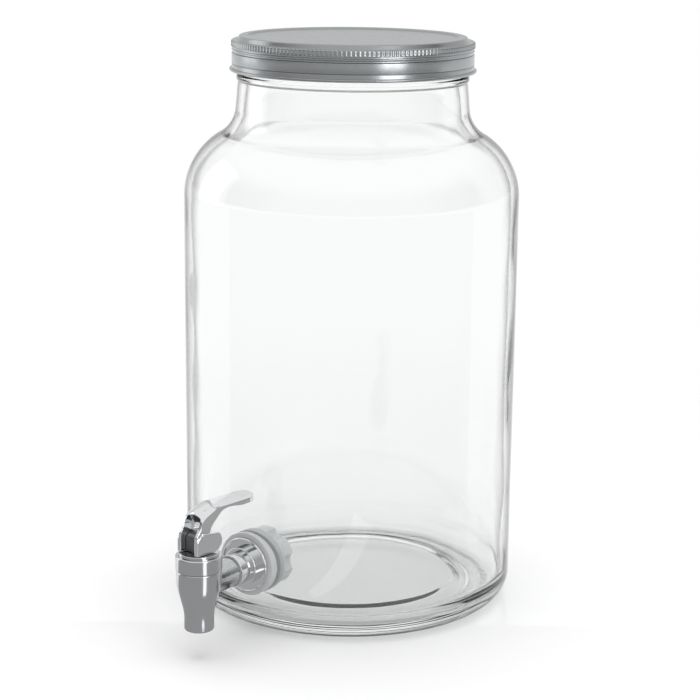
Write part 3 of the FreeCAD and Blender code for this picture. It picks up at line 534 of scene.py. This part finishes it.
def dress_nodes():
    for node, material in NODE_MATERIALS.items():
        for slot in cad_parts[node].material_slots:
            slot.material = MATERIALS[material]


# ---------------------------------------------------------------- stage, lights and camera

def build_floor():
    """A pale floor that is softly lit from within towards its edge, where it melts into the backdrop."""
    mesh = bpy.data.meshes.new("studio_floor")
    half = 12.0
    corners = [(-half, -half, 0), (half, -half, 0), (half, half, 0), (-half, half, 0)]
    mesh.from_pydata(corners, [], [(0, 1, 2, 3)])
    mat = surface("floor_sheet", (0.84, 0.84, 0.84), 0.1, ior=1.5, tone=0.0, blur=0.0, grain=300,
                  grain_height=0.0)
    tree = mat.node_tree
    shader = tree.nodes["Principled BSDF"]
    shader.inputs["Emission Color"].default_value = (1, 1, 1, 1)
    shader.inputs["Emission Strength"].default_value = 0.05
    place = add_node(tree, "ShaderNodeTexCoord").outputs["Object"]
    far = add_node(tree, "ShaderNodeVectorMath", {0: place}, operation="LENGTH")
    melt = add_node(tree, "ShaderNodeMapRange", {"Value": far.outputs["Value"], "From Min": 0.09,
                                                "From Max": 0.5},
                    interpolation_type="SMOOTHSTEP")
    glow = add_node(tree, "ShaderNodeEmission", {"Color": (1, 1, 1, 1), "Strength": 1.0})
    mixed = add_node(tree, "ShaderNodeMixShader", {0: melt.outputs["Result"], 1: shader.outputs["BSDF"],
                                                  2: glow.outputs["Emission"]})
    tree.links.new(mixed.outputs["Shader"], tree.nodes["Material Output"].inputs["Surface"])
    new_object("studio_floor", mesh, mat)


def add_softbox(name, place, aim, width, height, power):
    lamp = bpy.data.lights.new(name, "AREA")
    lamp.shape, lamp.size, lamp.size_y, lamp.energy = "RECTANGLE", width, height, power
    obj = bpy.data.objects.new(name, lamp)
    obj.location = place
    obj.rotation_euler = (Vector(aim) - Vector(place)).to_track_quat("-Z", "Y").to_euler()
    bpy.context.scene.collection.objects.link(obj)
    return obj


def add_card(name, corners, brightness):
    """A studio card that the eye doesn't see: it shows only in reflections."""
    mesh = bpy.data.meshes.new(name)
    mesh.from_pydata([from_camera(*corner) for corner in corners], [], [tuple(range(len(corners)))])
    mat = bpy.data.materials.new(name)
    mat.use_nodes = True
    tree = mat.node_tree
    tree.nodes.clear()
    glow = add_node(tree, "ShaderNodeEmission", {"Color": (1, 1, 1, 1), "Strength": brightness})
    add_node(tree, "ShaderNodeOutputMaterial", {"Surface": glow.outputs["Emission"]})
    card = new_object(name, mesh, mat)
    card.visible_camera = card.visible_diffuse = card.visible_shadow = card.visible_transmission = False


def add_cards():
    """A grey apron in front and a bright streak that crosses it, both seen only in reflections."""
    add_card("front_apron", [(-3, 0.06, 0.0002), (3, 0.06, 0.0002), (3, 3, 0.0002), (-3, 3, 0.0002)], 0.42)
    tap_side, tap_depth = -TAP_REACH * MM * math.sin(math.radians(VIEW_AZIMUTH)), \
        TAP_REACH * MM * math.cos(math.radians(VIEW_AZIMUTH))
    streak = []
    for reach, lean in ((0.05, 25), (0.05, 41), (0.22, 41), (0.22, 25)):
        lean = math.radians(lean)
        streak.append((tap_side + reach * math.sin(lean), tap_depth + reach * math.cos(lean), 0.0004))
    add_card("front_streak", streak, 1.7)


def build_world():
    """White for the eye; around the object a bright back, a grey front and dark strips at the sides."""
    world = bpy.data.worlds.new("studio")
    bpy.context.scene.world = world
    world.use_nodes = True
    tree = world.node_tree
    tree.nodes.clear()
    way = add_node(tree, "ShaderNodeTexCoord").outputs["Generated"]
    turned = add_node(tree, "ShaderNodeVectorRotate", {"Vector": way, "Angle": math.radians(-VIEW_AZIMUTH)},
                      rotation_type="Z_AXIS")
    parts = add_node(tree, "ShaderNodeSeparateXYZ", {"Vector": turned.outputs["Vector"]})
    ramp = add_node(tree, "ShaderNodeValToRGB", {"Fac": add_node(
        tree, "ShaderNodeMapRange", {"Value": parts.outputs["Y"], "From Min": -1.0, "From Max": 1.0}
    ).outputs["Result"]})
    stops = [(0.0, 0.5), (0.2, 0.4), (0.3, 0.14), (0.56, 0.1), (0.64, 0.7), (1.0, 0.74)]
    elements = ramp.color_ramp.elements
    for place, shade in stops[:2]:
        elements[stops.index((place, shade))].position = place
        elements[stops.index((place, shade))].color = (shade, shade, shade, 1)
    for place, shade in stops[2:]:
        elements.new(place).color = (shade, shade, shade, 1)
    high = add_node(tree, "ShaderNodeMapRange", {"Value": parts.outputs["Z"], "From Min": 0.3,
                                                "From Max": 0.7},
                    interpolation_type="SMOOTHSTEP")
    sky = add_node(tree, "ShaderNodeMix", {0: high.outputs["Result"], 6: ramp.outputs["Color"],
                                          7: (0.95, 0.95, 0.95, 1)}, data_type="RGBA")
    light = add_node(tree, "ShaderNodeBackground", {"Color": sky.outputs[2], "Strength": 1.0})
    white = add_node(tree, "ShaderNodeBackground", {"Color": (1, 1, 1, 1), "Strength": 1.0})
    ray = add_node(tree, "ShaderNodeLightPath")
    behind = add_node(tree, "ShaderNodeMapRange", {"Value": parts.outputs["Y"], "From Min": 0.6,
                                                  "From Max": 0.85})
    through = add_node(tree, "ShaderNodeMath", {0: ray.outputs["Is Transmission Ray"],
                                              1: behind.outputs["Result"]},
                       operation="MULTIPLY")
    seen = add_node(tree, "ShaderNodeMath", {0: ray.outputs["Is Camera Ray"], 1: through.outputs["Value"]},
                    operation="MAXIMUM")
    mixed = add_node(tree, "ShaderNodeMixShader", {0: seen.outputs["Value"], 1: light.outputs["Background"],
                                                  2: white.outputs["Background"]})
    add_node(tree, "ShaderNodeOutputWorld", {"Surface": mixed.outputs["Shader"]})


VIEW_AZIMUTH = 34.8
VIEW_PITCH = 13.61
VIEW_ROLL = 0.61
VIEW_REACH = 1.0454
VIEW_HEIGHT = 0.3894


def add_camera():
    swing = math.radians(VIEW_AZIMUTH)
    place = Vector((math.sin(swing) * VIEW_REACH, -math.cos(swing) * VIEW_REACH, VIEW_HEIGHT))
    drop = math.radians(VIEW_PITCH)
    way = Vector((-math.sin(swing) * math.cos(drop), math.cos(swing) * math.cos(drop), -math.sin(drop)))
    data = bpy.data.cameras.new("photo_camera")
    data.lens, data.sensor_width = 100.7, 36.0
    camera = bpy.data.objects.new("photo_camera", data)
    bpy.context.scene.collection.objects.link(camera)
    aim = way.to_track_quat("-Z", "Y").to_matrix().to_4x4()
    turn = aim @ Matrix.Rotation(math.radians(VIEW_ROLL), 4, "Z")
    camera.matrix_world = Matrix.Translation(place) @ turn
    bpy.context.scene.camera = camera


def from_camera(side, depth, height):
    """A place given as metres to the camera's right of the jar, towards the camera, and up."""
    swing = math.radians(VIEW_AZIMUTH)
    right = Vector((math.cos(swing), math.sin(swing), 0))
    near = Vector((math.sin(swing), -math.cos(swing), 0))
    return right * side + near * depth + Vector((0, 0, height))


jar = build_jar()
build_lid()
build_spring()
build_shank()
build_lever()
dress_nodes()
build_floor()
build_world()
add_camera()
add_cards()
middle = (0, 0, 0.15)
add_softbox("overhead_softbox", from_camera(0.0, 0.0, 1.6), middle, 1.4, 1.4, 14)
right_strip = add_softbox("right_strip", from_camera(1.8, 2.4, 0.9), middle, 1.3, 2.0, 26)
# the strip lights the metal only, so that the glass stays free of its glare
spared = bpy.data.collections.new("spared_by_strip")
spared.objects.link(jar)
spared.collection_objects[0].light_linking.link_state = "EXCLUDE"
right_strip.light_linking.receiver_collection = spared
add_softbox("left_back_softbox", from_camera(-2.2, -0.9, 0.8), middle, 1.2, 1.6, 5)
bpy.data.objects["overhead_softbox"].visible_glossy = False
bpy.data.objects["overhead_softbox"].visible_transmission = False
bpy.context.scene.view_settings.view_transform = "Standard"
